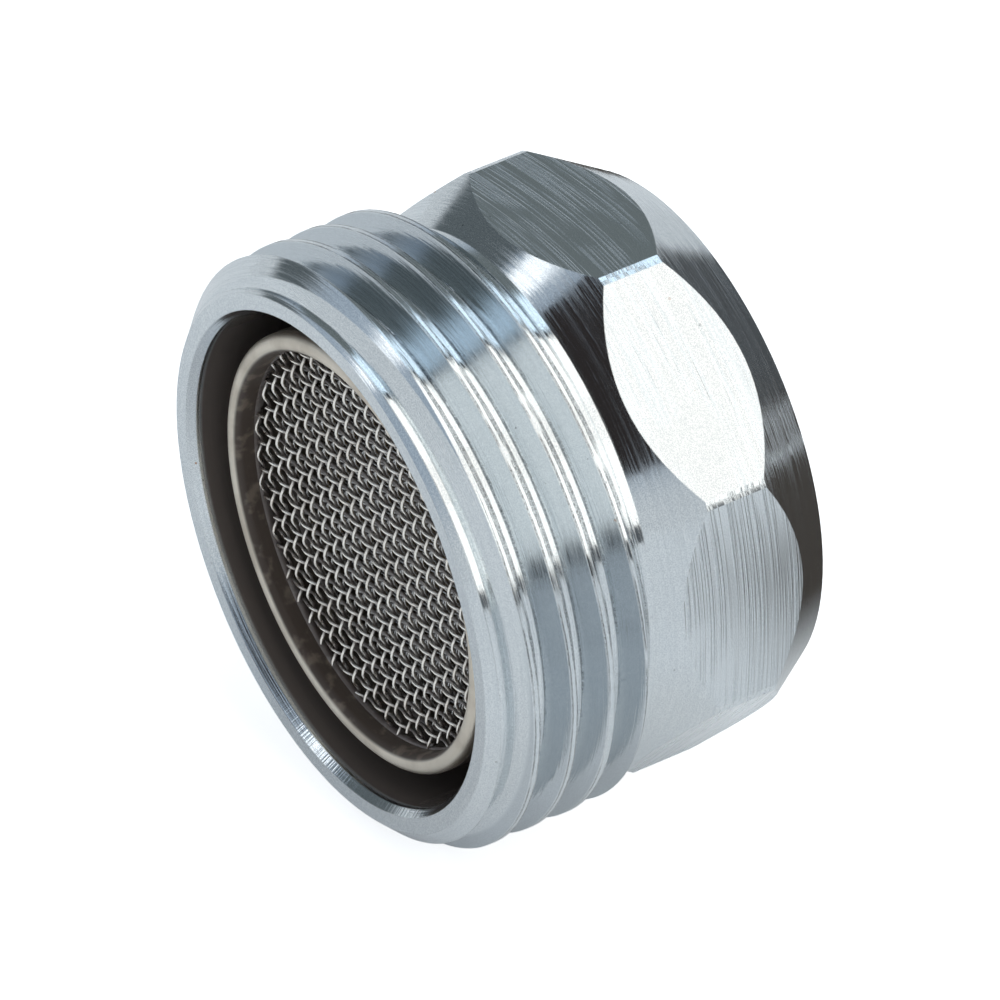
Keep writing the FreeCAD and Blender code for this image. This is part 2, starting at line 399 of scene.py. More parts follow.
@dataclass(frozen=True)
class ChromeFinish:
    """Bright chrome over brass: tool marks run round on turned faces and across the flats; their grooves,
    the hose thread's flanks and the thread's edges get painted shade.
    """

    colour: Colour = (0.84, 0.87, 0.88, 1.0)
    groove_shade: Colour = (0.60, 0.65, 0.68, 1.0)
    flank_shade: Colour = (0.54, 0.58, 0.61, 1.0)
    film: Colour = (0.64, 0.68, 0.71, 1.0)
    pit_tone_and_edge_shade: Colour = (0.10, 0.11, 0.12, 1.0)
    shadow: Colour = (0.145, 0.122, 0.110, 1.0)
    speck: Colour = (0.45, 0.24, 0.12, 1.0)
    polish: float = 0.06
    dull: float = 0.20
    brushed: float = 0.34
    lathe_lines_per_mm: float = 11.0
    mill_lines_per_mm: float = 8.0
    grain_per_mm: float = 11.0
    pits_per_mm: float = 1.1
    ribs_in_turn: float = 520.0
    # heights and widths in millimetres
    lathe_height: float = 0.0018
    mill_height: float = 0.008
    edge_relief_height: float = 0.012
    rib_height: float = 0.019
    edge_shade_wander: float = 0.06
    edge_radius: float = 0.06
    # millimetres behind the middle of a crest where dark lines of painted shade lie: its front edge, its
    # back edge and the edge of the root
    edge_shade_bands: tuple[Span, ...] = ((-0.125, -0.075), (0.095, 0.17), (0.73, 0.81))
    # the same, where a flank's painted shade fades out before the root
    root_fade: Span = (-0.80, -0.50)
    # stations and radii of the zones that are marked or carry painted shade
    flat_stations: Span = (NECK_STATION, 17.5)
    flat_radii: Span = (12.3, 13.34)
    flank_stations: Span = (1.5, 8.0)
    flank_radii: Span = (12.0, 13.17)
    edge_shade_stations: Span = (1.4, 7.9)
    edge_shade_outside_radius: float = 12.0
    bore_stations: Span = (0.7, 9.3)
    bore_radius: float = 11.0
    rib_radii: Span = (10.95, 11.3)
    ribs_until_station: float = 0.34
    ribs_deepest_below: Span = (8.6, 9.8)
    # steps that turn a smooth noise into marks and patches
    lathe_step: Span = (0.32, 0.68)
    mill_step: Span = (0.44, 0.64)
    mill_patch_step: Span = (0.24, 0.50)
    worn_step: Span = (0.30, 0.50)
    rib_patch_step: Span = (0.44, 0.60)
    pit_step: Span = (0.085, 0.05)
    grain_step: Span = (0.75, 0.25)
    film_step: Span = (0.38, 0.66)
    # share of the pits that show as rust specks and as plain dark pits
    rusty_over: float = 0.965
    pitted_under: float = 0.35
    # share of a mark's darker colour: painted shade in the marks on turned faces and on milled faces and
    # along the thread's edges, and the pits' own dark tint
    turned_groove_shade: float = 0.62
    milled_groove_shade: float = 0.88
    edge_shade_share: float = 0.85
    pit_tint: float = 0.6
    rib_patch_height: float = 0.3

    def lathe_marks(self, sketch: Sketch, at: Turned) -> bpy.types.NodeSocket:
        """Fine lines round the axis, broken here and there.

        Args:
            sketch: the material.
            at: places on the piece.

        Returns:
            A height from 0 to 1.
        """
        place = sketch.vector(at.station, at.radius, sketch.times(at.turn, 1.2))
        return sketch.step(sketch.noise(place, self.lathe_lines_per_mm, 3.0), *self.lathe_step)

    def mill_marks(self, sketch: Sketch, at: Turned) -> bpy.types.NodeSocket:
        """Long, slightly curved scratches across each flat.

        Args:
            sketch: the material.
            at: places on the piece.

        Returns:
            A height from 0 to 1.
        """
        sides = sketch.times(at.turn, COLLAR_SIDES)
        side = sketch.math(Blend.ROUND, sides)
        share = sketch.math(Blend.SUBTRACT, sides, side)
        width = sketch.times(share, math.tau / COLLAR_SIDES * COLLAR_FLATS / 2)
        bow = sketch.times(width, width, 0.014)
        along = sketch.math(Blend.ADD, at.station, bow)
        own_side = sketch.times(side, 3.7)
        scratch = sketch.vector(along, own_side, sketch.times(width, 0.012))
        fine = sketch.noise(scratch, self.mill_lines_per_mm, 3.0)
        patch = sketch.noise(sketch.vector(along, own_side, sketch.times(width, 0.6)), 0.40, 1.0)
        return sketch.times(sketch.step(fine, *self.mill_step), sketch.step(patch, *self.mill_patch_step))

    def from_crest(self, sketch: Sketch, at: Turned) -> bpy.types.NodeSocket:
        """How far a place lies behind the middle of the nearest crest of the hose thread.

        Args:
            sketch: the material.
            at: places on the piece.

        Returns:
            Millimetres along the axis, below 0 on the outlet's side of the crest.
        """
        climb = sketch.times(at.turn, HOSE_THREAD_PITCH)
        lead = sketch.math(Blend.SUBTRACT, at.station, HOSE_CREST_STATION - HOSE_THREAD_PITCH / 2)
        wrapped = sketch.math(Blend.MODULO, sketch.math(Blend.SUBTRACT, lead, climb), HOSE_THREAD_PITCH)
        return sketch.math(Blend.SUBTRACT, wrapped, HOSE_THREAD_PITCH / 2)

    def shaded_edges(self, sketch: Sketch, at: Turned) -> bpy.types.NodeSocket:
        """Dark lines along the edges of the hose thread's crests and roots: painted shade, with a little
        relief.

        Args:
            sketch: the material.
            at: places on the piece.

        Returns:
            A height from 0 to 1.
        """
        place = sketch.vector(sketch.times(at.turn, 83.0), at.station, 0.0)
        wander = sketch.math(Blend.SUBTRACT, sketch.noise(place, 1.3, 4.0), 0.5)
        away = sketch.math(Blend.ADD, self.from_crest(sketch, at), sketch.times(wander, self.edge_shade_wander))
        lines = 0.0
        for start, end in self.edge_shade_bands:
            lines = sketch.math(Blend.MAXIMUM, lines, sketch.between(away, start, end, 0.02))
        worn = sketch.step(sketch.noise(place, 0.45, 2.0), *self.worn_step)
        after_ring = sketch.math(Blend.GREATER, at.station, self.edge_shade_stations[0])
        before_neck = sketch.math(Blend.LESS, at.station, self.edge_shade_stations[1])
        outside = sketch.math(Blend.GREATER, at.radius, self.edge_shade_outside_radius)
        return sketch.times(lines, worn, after_ring, before_neck, outside)

    def chatter(self, sketch: Sketch, at: Turned) -> bpy.types.NodeSocket:
        """Short ribs that the tool left across the edge of the outlet's bore, deepest at the bottom.

        Args:
            sketch: the material.
            at: places on the piece.

        Returns:
            A height from 0 to 1.
        """
        ribs = sketch.noise(sketch.vector(sketch.times(at.turn, self.ribs_in_turn), 0.0, 0.0), 1.0, 1.0)
        edge = sketch.between(at.radius, *self.rib_radii, 0.06)
        front = sketch.math(Blend.LESS, at.station, self.ribs_until_station)
        place = sketch.vector(sketch.times(at.turn, 23.0), 0.0, 0.0)
        patches = sketch.step(sketch.noise(place, 1.0, 1.0), *self.rib_patch_step)
        patches = sketch.times(patches, self.rib_patch_height)
        below = sketch.step(sketch.dot(at.around, Vector((0, 0, -1 / MM))), *self.ribs_deepest_below)
        return sketch.times(ribs, edge, front, sketch.math(Blend.MAXIMUM, patches, below))

    def thread_flanks(self, sketch: Sketch, at: Turned, leaning: object) -> bpy.types.NodeSocket:
        """The flanks of the hose thread, painted darker as painted shade, since they stand in each other's
        light.

        Args:
            sketch: the material.
            at: places on the piece.
            leaning: 1 where the surface faces along the axis, 0 where it faces outwards.

        Returns:
            1 on the flanks, fading to 0 at a root.
        """
        steep = sketch.math(Blend.GREATER, leaning, 0.5)
        stations = sketch.between(at.station, *self.flank_stations, 0.1)
        radii = sketch.between(at.radius, *self.flank_radii, 0.02)
        off_root = sketch.step(self.from_crest(sketch, at), *self.root_fade)
        return sketch.times(steep, stations, radii, off_root)

    def tint(self, sketch: Sketch, groove_shading: object, shaded_edges: object, flanks: object) -> bpy.types.NodeSocket:
        """The chrome's colour with painted shade in its marks, on its thread's flanks and along its thread's
        edges, and with its pits, rust specks and grain.

        Args:
            sketch: the material.
            groove_shading: how much painted shade lies in the tool's marks.
            shaded_edges: the dark lines of painted shade along the thread's edges.
            flanks: the hose thread's flanks, which get painted shade.

        Returns:
            The colour.
        """
        own = sketch.node("ShaderNodeTexCoord").outputs["Object"]
        pits = sketch.node("ShaderNodeTexVoronoi", feature="F1")
        sketch.feed(pits.inputs["Vector"], own)
        sketch.feed(pits.inputs["Scale"], self.pits_per_mm / MM)
        dot = sketch.step(pits.outputs["Distance"], *self.pit_step)
        lot = sketch.dot(pits.outputs["Color"], Vector((1, 0, 0)))
        rusty = sketch.times(dot, sketch.math(Blend.GREATER, lot, self.rusty_over))
        pitted = sketch.times(dot, sketch.math(Blend.LESS, lot, self.pitted_under))
        grain = sketch.step(sketch.noise(own, self.grain_per_mm / MM, 1.0), *self.grain_step)
        grease = sketch.step(sketch.noise(own, 2.2 * self.grain_per_mm / MM, 0.0), *self.film_step)
        # the hose thread's flanks are painted darker: painted shade
        colour = sketch.shade(flanks, self.colour, self.flank_shade)
        # the tool marks are painted darker, broken up by grain: painted shade
        colour = sketch.shade(sketch.times(groove_shading, grain), colour, self.groove_shade)
        # dark lines along the thread's edges: painted shade; the pits below take the same dark colour
        colour = sketch.shade(sketch.times(shaded_edges, self.edge_shade_share), colour, self.pit_tone_and_edge_shade)
        colour = sketch.shade(sketch.times(pitted, self.pit_tint), colour, self.pit_tone_and_edge_shade)
        colour = sketch.shade(rusty, colour, self.speck)
        return sketch.shade(grease, colour, self.film)

    def build(self) -> bpy.types.Material:
        """Makes the material.

        Returns:
            The material.
        """
        material, sketch, shader = new_material("bright_chrome")
        at = turned_places(sketch)
        normal = sketch.node("ShaderNodeNewGeometry").outputs["True Normal"]
        leaning = sketch.math(Blend.POWER, sketch.dot(normal, Vector((0, 1, 0))), 2.0)
        upright = sketch.math(Blend.LESS, leaning, 0.01)
        collar = sketch.between(at.station, *self.flat_stations, 0.05)
        outside = sketch.between(at.radius, *self.flat_radii, 0.01)
        flat = sketch.times(upright, collar, outside)
        inward = sketch.math(Blend.LESS, at.radius, self.bore_radius)
        bore = sketch.times(inward, sketch.between(at.station, *self.bore_stations, 0.3))

        height = sketch.mix("FLOAT", flat, self.lathe_marks(sketch, at), self.mill_marks(sketch, at))
        depth = sketch.mix("FLOAT", flat, self.lathe_height * MM, self.mill_height * MM)
        shaded_edges = self.shaded_edges(sketch, at)
        # how much painted shade each tool mark gets
        groove_shading = sketch.times(height, sketch.mix("FLOAT", flat, self.turned_groove_shade, self.milled_groove_shade))
        colour = self.tint(sketch, groove_shading, shaded_edges, self.thread_flanks(sketch, at, leaning))
        sketch.feed(shader.inputs["Base Color"], sketch.shade(bore, colour, self.shadow))
        sketch.feed(shader.inputs["Metallic"], sketch.math(Blend.SUBTRACT, 1.0, bore))
        sketch.feed(shader.inputs["Roughness"], sketch.spread(
            sketch.math(Blend.ADD, height, sketch.times(bore, 2.0)),
            (0.0, 1.0), (self.polish, sketch.mix("FLOAT", flat, self.dull, self.brushed)),
        ))

        edges = sketch.node("ShaderNodeBevel", samples=2)
        sketch.feed(edges.inputs["Radius"], self.edge_radius * MM)
        facing = sketch.relief(height, depth, edges.outputs[0])
        facing = sketch.relief(shaded_edges, self.edge_relief_height * MM, facing)
        facing = sketch.relief(self.chatter(sketch, at), self.rib_height * MM, facing)
        sketch.feed(shader.inputs["Normal"], facing)
        return material


@dataclass(frozen=True)
class MetalFinish:
    """A dull or satin metal with drawing lines round the axis and soft stains; its depth and inner face are
    painted dark and mottled, as painted shade.
    """

    name: str
    colour: Colour
    stain: Colour
    roughness: float
    worn: float
    lines_per_mm: float = 5.0
    stains_per_mm: float = 0.42
    mottle_per_mm: float = 1.3
    mark_height: float = 0.008
    # stations and radii outside which the metal is painted dark as painted shade
    unshaded_until: float = 99.0
    unshaded_again_from: float = 199.0
    unshaded_from_radius: float = 0.0
    unshaded_to_radius: float = 99.0
    # the two colours of that mottled painted shade
    depth_shade: Colour = (0.090, 0.066, 0.052, 1.0)
    depth_shade_pale: Colour = (0.21, 0.165, 0.13, 1.0)
    stain_step: Span = (0.42, 0.66)
    mottle_step: Span = (0.5, 0.68)
    wear_spread: Span = (0.3, 0.7)

    def in_shade(self, sketch: Sketch, at: Turned) -> bpy.types.NodeSocket:
        """Where the metal is painted in shade: outside the stations and radii that are left unshaded.

        Args:
            sketch: the material.
            at: places on the piece.

        Returns:
            1 where it is painted in shade, 0 where it keeps its own colour.
        """
        deep = sketch.between(at.station, self.unshaded_until + 0.16, self.unshaded_again_from, 0.16)
        inner = sketch.step(at.radius, self.unshaded_from_radius + 0.07, self.unshaded_from_radius - 0.07)
        outer = sketch.step(at.radius, self.unshaded_to_radius - 0.05, self.unshaded_to_radius)
        either = sketch.math(Blend.MAXIMUM, sketch.math(Blend.MAXIMUM, deep, inner), outer)
        return sketch.times(either, sketch.math(Blend.LESS, at.station, self.unshaded_again_from))

    def build(self) -> bpy.types.Material:
        """Makes the material.

        Returns:
            The material.
        """
        material, sketch, shader = new_material(self.name)
        at = turned_places(sketch)
        own = sketch.node("ShaderNodeTexCoord").outputs["Object"]
        stains = sketch.noise(own, self.stains_per_mm / MM, 4.0)
        in_shade = self.in_shade(sketch, at)
        tint = sketch.shade(sketch.step(stains, *self.stain_step), self.colour, self.stain)
        patches = sketch.step(sketch.noise(own, self.mottle_per_mm / MM, 3.0), *self.mottle_step)
        # the depth and inner face are painted dark and mottled: painted shade
        mottled_shade = sketch.shade(patches, self.depth_shade, self.depth_shade_pale)
        sketch.feed(shader.inputs["Base Color"], sketch.shade(in_shade, tint, mottled_shade))
        sketch.feed(shader.inputs["Metallic"], sketch.math(Blend.SUBTRACT, 1.0, in_shade))
        wear = sketch.spread(stains, self.wear_spread, (self.roughness, self.worn))
        sketch.feed(shader.inputs["Roughness"], wear)
        place = sketch.vector(at.station, at.radius, sketch.times(at.turn, 6.0))
        lines = sketch.noise(place, self.lines_per_mm, 3.0)
        sketch.feed(shader.inputs["Normal"], sketch.relief(lines, self.mark_height * MM))
        return material


@dataclass(frozen=True)
class RubberFinish:
    """Matt black rubber with a fine grain."""

    colour: Colour = (0.022, 0.021, 0.02, 1.0)
    bloom: Colour = (0.05, 0.048, 0.045, 1.0)
    roughness: float = 0.62
    grain_per_mm: float = 3.0
    grain_height: float = 0.02
    grain_strength: float = 0.6

    def build(self) -> bpy.types.Material:
        """Makes the material.

        Returns:
            The material.
        """
        material, sketch, shader = new_material("washer_rubber")
        own = sketch.node("ShaderNodeTexCoord").outputs["Object"]
        grain = sketch.noise(own, self.grain_per_mm / MM, 4.0)
        sketch.feed(shader.inputs["Base Color"], sketch.shade(grain, self.colour, self.bloom))
        sketch.feed(shader.inputs["Roughness"], self.roughness)
        relief = sketch.relief(grain, self.grain_height * MM, strength=self.grain_strength)
        sketch.feed(shader.inputs["Normal"], relief)
        return material


@dataclass
class WovenScreen:
    """A plain weave of crimped wires in a pressed rim, in place of a node of crossed bars."""

    node: str
    weft_angle: float
    warp_angle: float
    weft_pitch: float
    warp_pitch: float
    anchor: Span
    wire: float
    weft_crimp: float = 0.085
    warp_crimp: float = 0.135
    warp_ahead: float = 0.025
    rim: float = 0.4
    rim_steps: int = 96
    weld: float = 0.0005
    handle_share: float = 0.4

    def centre_line(self) -> tuple[float, float, float]:
        """Reads the screen's place and size from its node.

        Returns:
            Its middle plane, its rim's outer radius and its thickness, in millimetres.
        """
        low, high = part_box(self.node)
        middle = (low[1] + high[1]) / 2 / MM
        return middle, high[0] / MM, (high[1] - low[1]) / MM

    def wires(
        self, along: Vector, across: Vector, pitch: float, step: float, is_weft: bool
    ) -> list[list[Vector]]:
        """The bends of one family of wires.

        Args:
            along: unit direction of these wires, as (x, z).
            across: unit direction of the wires they cross.
            pitch: distance from one wire to the next, along the wires they cross.
            step: distance from one bend to the next.
            is_weft: the weft bends inward at the anchor and lies a little deeper than the warp.

        Returns:
            For each wire its bends, in metres.
        """
        middle, rim_r, _ = self.centre_line()
        middle += self.warp_ahead if is_weft else -self.warp_ahead
        crimp = self.weft_crimp if is_weft else self.warp_crimp
        reach = rim_r - self.rim / 2
        start = Vector(self.anchor)
        count = math.ceil(2 * reach / pitch) + 4
        found = []
        for row in range(-count, count + 1):
            root = start + across * (row * pitch)
            bends = []
            for bend in range(-2 * count, 2 * count + 1):
                place = root + along * (bend * step)
                if place.length < reach:
                    side = 1 if (row + bend + is_weft) % 2 else -1
                    bends.append(Vector((place.x, middle + side * crimp, place.y)) * MM)
            if len(bends) > 1:
                found.append(bends)
        return found

    def build(self, material: bpy.types.Material) -> bpy.types.Object:
        """Weaves the screen.

        Args:
            material: the wire's finish.

        Returns:
            The screen as one mesh.
        """
        weft = Vector((math.cos(self.weft_angle), math.sin(self.weft_angle)))
        warp = Vector((math.cos(self.warp_angle), math.sin(self.warp_angle)))
        curve = bpy.data.curves.new(self.node + "_wires", "CURVE")
        curve.dimensions = "3D"
        curve.bevel_depth = self.wire / 2 * MM
        curve.bevel_resolution = 1
        curve.resolution_u = 4
        curve.use_fill_caps = True
        rows = self.wires(warp, weft, self.warp_pitch, self.weft_pitch, False)
        rows += self.wires(weft, warp, self.weft_pitch, self.warp_pitch, True)
        for bends in rows:
            spline = curve.splines.new("BEZIER")
            spline.bezier_points.add(len(bends) - 1)
            run = (bends[-1] - bends[0]) / (len(bends) - 1)
            flat_run = Vector((run.x, 0.0, run.z)) * self.handle_share
            for point, bend in zip(spline.bezier_points, bends):
                point.co = bend
                point.handle_left = bend - flat_run
                point.handle_right = bend + flat_run
        holder = bpy.data.objects.new(self.node + "_wires", curve)
        bpy.context.scene.collection.objects.link(holder)
        bpy.context.view_layer.update()
        mesh = bpy.data.meshes.new_from_object(holder.evaluated_get(bpy.context.evaluated_depsgraph_get()))
        bpy.data.objects.remove(holder)
        self.add_rim(mesh)
        mesh.materials.clear()
        mesh.materials.append(material)
        screen = bpy.data.objects.new(self.node + "_weave", mesh)
        bpy.context.scene.collection.objects.link(screen)
        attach(screen, BODY)
        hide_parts(self.node)
        LOG.info("wove %s: %d wires, %d faces", self.node, len(rows), len(mesh.polygons))
        return screen

    def add_rim(self, mesh: bpy.types.Mesh) -> None:
        """Adds the pressed rim that holds the wires' ends.

        Args:
            mesh: the wires.
        """
        middle, rim_r, thickness = self.centre_line()
        half = thickness / 2
        shape = bmesh.new()
        shape.from_mesh(mesh)
        inner_r = rim_r - self.rim
        corners = [(rim_r, -half), (rim_r, half), (inner_r, half), (inner_r, -half)]
        verts = [shape.verts.new(Vector((r, middle + y, 0.0)) * MM) for r, y in corners]
        section = shape.faces.new(verts)
        bmesh.ops.spin(
            shape, geom=[section] + section.edges[:] + verts, cent=(0, 0, 0), axis=(0, 1, 0),
            angle=math.tau, steps=self.rim_steps, use_merge=True,
        )
        bmesh.ops.delete(shape, geom=[section], context="FACES_ONLY")
        near = self.rim * 1.01
        rim_verts = [
            vert for vert in shape.verts if abs(math.hypot(vert.co.x, vert.co.z) / MM - rim_r) < near
        ]
        bmesh.ops.remove_doubles(shape, verts=rim_verts, dist=self.weld * MM)
        for piece in shape.faces:
            piece.smooth = True
        shape.to_mesh(mesh)
        shape.free()


@dataclass
class RolledLip:
    """The smooth rolled edge of the cartridge sleeve, laid over the lip of its node."""

    sleeve_radius: float = 9.73
    wall: float = 0.415
    cover: float = 0.014
    straight: float = 0.55
    bends: int = 12
    steps: int = 144

    def build(self, material: bpy.types.Material) -> bpy.types.Object:
        """Spins the lip's section round the axis.

        Args:
            material: the sleeve's finish.

        Returns:
            The lip.
        """
        low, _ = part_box("cartridge_sleeve")
        front = low[1] / MM - self.cover
        radius = self.wall + self.cover
        middle = self.sleeve_radius - self.wall
        shape = bmesh.new()
        section = [shape.verts.new(Vector((middle - radius, front + radius + self.straight, 0.0)) * MM)]
        for bend in range(self.bends + 1):
            angle = math.pi * bend / self.bends
            across = middle - radius * math.cos(angle)
            along = front + radius - radius * math.sin(angle)
            section.append(shape.verts.new(Vector((across, along, 0.0)) * MM))
        section.append(shape.verts.new(Vector((middle + radius, front + radius + self.straight, 0.0)) * MM))
        edges = [shape.edges.new(pair) for pair in zip(section, section[1:])]
        bmesh.ops.spin(
            shape, geom=section + edges, cent=(0, 0, 0), axis=(0, 1, 0),
            angle=math.tau, steps=self.steps, use_merge=True,
        )
        bmesh.ops.recalc_face_normals(shape, faces=shape.faces)
        for piece in shape.faces:
            piece.smooth = True
        mesh = bpy.data.meshes.new("sleeve_rolled_lip")
        shape.to_mesh(mesh)
        shape.free()
        mesh.materials.append(material)
        lip = bpy.data.objects.new("sleeve_rolled_lip", mesh)
        bpy.context.scene.collection.objects.link(lip)
        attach(lip, BODY)
        LOG.info("rolled the sleeve's lip: %d faces", len(mesh.polygons))
        return lip


@dataclass(frozen=True)
class TapThread:
    """The fine right-handed ridge that winds round the inlet's wall."""

    pitch: float = 1.0
    wall_radius: float = 10.46
    rise: float = 0.14
    sunk: float = 0.03
    foot: float = 0.36
    top: float = 0.07
    starts_at: float = 0.42
    turns: int = 3
    steps_in_turn: int = 96

    def build(self, material: bpy.types.Material) -> bpy.types.Object:
        """Winds the ridge's section up the axis.

        Args:
            material: the body's finish.

        Returns:
            The ridge.
        """
        buried = self.wall_radius + self.sunk
        crest = self.wall_radius - self.rise
        corners = [(buried, -self.foot), (crest, -self.top), (crest, self.top), (buried, self.foot)]
        shape = bmesh.new()
        verts = [shape.verts.new(Vector((r, self.starts_at + y, 0.0)) * MM) for r, y in corners]
        section = shape.faces.new(verts)
        bmesh.ops.spin(
            shape, geom=[section] + section.edges[:] + verts, cent=(0, 0, 0), axis=(0, 1, 0),
            dvec=(0.0, self.pitch * MM / self.steps_in_turn, 0.0),
            angle=math.tau * self.turns, steps=self.steps_in_turn * self.turns,
        )
        bmesh.ops.recalc_face_normals(shape, faces=shape.faces)
        mesh = bpy.data.meshes.new("tap_thread_ridge")
        shape.to_mesh(mesh)
        shape.free()
        mesh.materials.append(material)
        ridge = bpy.data.objects.new("tap_thread_ridge", mesh)
        bpy.context.scene.collection.objects.link(ridge)
        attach(ridge, BODY)
        LOG.info("wound the tap's thread: %d faces", len(mesh.polygons))
        return ridge


@dataclass(frozen=True)
class Card:
    """A soft-edged light or dark card of the studio, seen in reflections."""

    towards: tuple[float, float, float]
    across: tuple[float, float, float]
    half_width: float
    half_height: float
    soft: float
    colour: Colour
    # how far ahead, as a cosine, the card starts and is full
    ahead: Span = (0.02, 0.06)

    def paint(self, sketch: Sketch, direction: object, under: object) -> bpy.types.NodeSocket:
        """Lays this card over what is there.

        Args:
            sketch: the world.
            direction: the direction that is looked in.
            under: the colour there so far.

        Returns:
            The colour with the card.
        """
        centre = Vector(self.towards).normalized()
        side = Vector(self.across)
        side = (side - side.dot(centre) * centre).normalized()
        top = centre.cross(side)
        depth = sketch.math(Blend.MAXIMUM, sketch.dot(direction, centre), 0.001)
        wide = sketch.math(Blend.DIVIDE, sketch.dot(direction, side), depth)
        high = sketch.math(Blend.DIVIDE, sketch.dot(direction, top), depth)
        in_width = sketch.between(wide, -self.half_width, self.half_width, self.soft)
        in_height = sketch.between(high, -self.half_height, self.half_height, self.soft)
        mask = sketch.times(in_width, in_height, sketch.step(depth, *self.ahead))
        return sketch.shade(mask, under, self.colour)


@dataclass
class Studio:
    """A pale floor and the surroundings that the chrome reflects."""

    floor_colour: Colour = (0.84, 0.87, 0.90, 1.0)
    dark_cloth_and_shade: Colour = (0.10, 0.085, 0.075, 1.0)
    # where the dark cloth lies on the floor, in millimetres behind the origin and to its sides; it shows
    # only in reflections, and close behind the object it is painted shade
    cloth_from: float = 5.0
    cloth_fade: float = 13.0
    cloth_gap: Span = (95.0, 102.0)
    cloth_gap_fade: float = 6.0
    cloth_sides: Span = (-52.0, 28.0)
    cloth_sides_fade: float = 7.0
    floor_half_width: float = 600.0
    floor_lift: float = 0.75
    floor_sheen: float = 0.12
    room: Colour = (0.38, 0.45, 0.53, 1.0)
    low_room: Colour = (0.62, 0.66, 0.69, 1.0)
    low_room_step: Span = (0.45, 0.1)
    cards: tuple[Card, ...] = (
        # dark space over the viewer, down to the right and up to the left
        Card((0.374, -0.494, 0.79), (0.942, -0.126, -0.525), 0.62, 0.34, 0.04, (0.030, 0.026, 0.026, 1.0)),
        # a blue window above, beside the soft box
        Card((-0.27, 0.53, 0.80), (1.0, 0.0, 0.0), 0.26, 0.24, 0.05, (1.0, 1.22, 1.40, 1.0)),
        # dark frame of the main soft box, then the box itself, above and behind on the right
        Card((0.668, 0.42, 0.609), (0.63, 0.0, -0.78), 1.04, 0.80, 0.03, (0.05, 0.06, 0.07, 1.0)),
        Card((0.668, 0.42, 0.609), (0.63, 0.0, -0.78), 0.925, 0.74, 0.03, (1.50, 1.50, 1.45, 1.0)),
        # the box's own dimmer middle
        Card((0.563, 0.421, 0.711), (0.63, 0.0, -0.78), 0.12, 0.12, 0.08, (1.26, 1.24, 1.19, 1.0)),
        # the dark far wall under the soft box
        Card((0.83, 0.555, 0.03), (-0.555, 0.83, 0.0), 0.32, 0.05, 0.03, (0.10, 0.11, 0.12, 1.0)),
        # a narrow strip light on the left
        Card((-0.455, -0.455, 0.77), (0.0, 1.0, 0.0), 0.45, 0.075, 0.04, (1.4, 1.45, 1.5, 1.0)),
        # dark back of the room, low down
        Card((-0.16, 1.0, 0.08), (1.0, 0.0, 0.0), 0.31, 0.16, 0.05, (0.085, 0.090, 0.095, 1.0)),
        # dim screens high on the left
        Card((-0.855, -0.224, 0.468), (0.73, 0.0, 0.68), 0.33, 0.25, 0.10, (0.11, 0.13, 0.14, 1.0)),
        Card((-0.62, 0.42, 0.66), (0.73, 0.0, 0.68), 0.24, 0.55, 0.10, (0.155, 0.18, 0.185, 1.0)),
    )

    def surroundings(self) -> None:
        """Sets the world: white to the camera, the room and its cards to everything else."""
        world = bpy.data.worlds.new("studio_room")
        bpy.context.scene.world = world
        world.cycles.sampling_method = "NONE"
        world.use_nodes = True
        sketch = Sketch(world.node_tree)
        direction = sketch.node("ShaderNodeTexCoord").outputs["Generated"]
        height = sketch.dot(direction, Vector((0, 0, 1)))
        colour = sketch.shade(sketch.step(height, *self.low_room_step), self.room, self.low_room)
        for card in self.cards:
            colour = card.paint(sketch, direction, colour)
        light = sketch.node("ShaderNodeBackground")
        sketch.feed(light.inputs["Color"], colour)
        white = sketch.node("ShaderNodeBackground")
        sketch.feed(white.inputs["Color"], (1.0, 1.0, 1.0, 1.0))
        sight = sketch.node("ShaderNodeLightPath").outputs["Is Camera Ray"]
        choice = sketch.node("ShaderNodeMixShader")
        sketch.feed(choice.inputs[0], sight)
        sketch.feed(choice.inputs[1], light.outputs[0])
        sketch.feed(choice.inputs[2], white.outputs[0])
        output = sketch.node("ShaderNodeOutputWorld")
        sketch.feed(output.inputs["Surface"], choice.outputs[0])

    def floor(self) -> bpy.types.Object:
        """Lays the pale floor under the lowest thread crest.

        Returns:
            The floor.
        """
        low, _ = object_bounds()
        shape = bmesh.new()
        bmesh.ops.create_grid(shape, x_segments=8, y_segments=8, size=self.floor_half_width * MM)
        bmesh.ops.translate(shape, verts=shape.verts, vec=(0, 0, low[2]))
        mesh = bpy.data.meshes.new("studio_floor")
        shape.to_mesh(mesh)
        shape.free()
        material = bpy.data.materials.new("pale_floor")
        material.use_nodes = True
        sketch = Sketch(material.node_tree)
        rays = sketch.node("ShaderNodeLightPath")
        place = sketch.node("ShaderNodeTexCoord").outputs["Object"]
        behind = sketch.math(Blend.DIVIDE, sketch.dot(place, Vector((0, 1, 0))), MM)
        aside = sketch.math(Blend.DIVIDE, sketch.dot(place, Vector((1, 0, 0))), MM)
        spread_out = sketch.step(behind, self.cloth_from, self.cloth_from + self.cloth_fade)
        gap = sketch.between(behind, *self.cloth_gap, self.cloth_gap_fade)
        sides = sketch.between(aside, *self.cloth_sides, self.cloth_sides_fade)
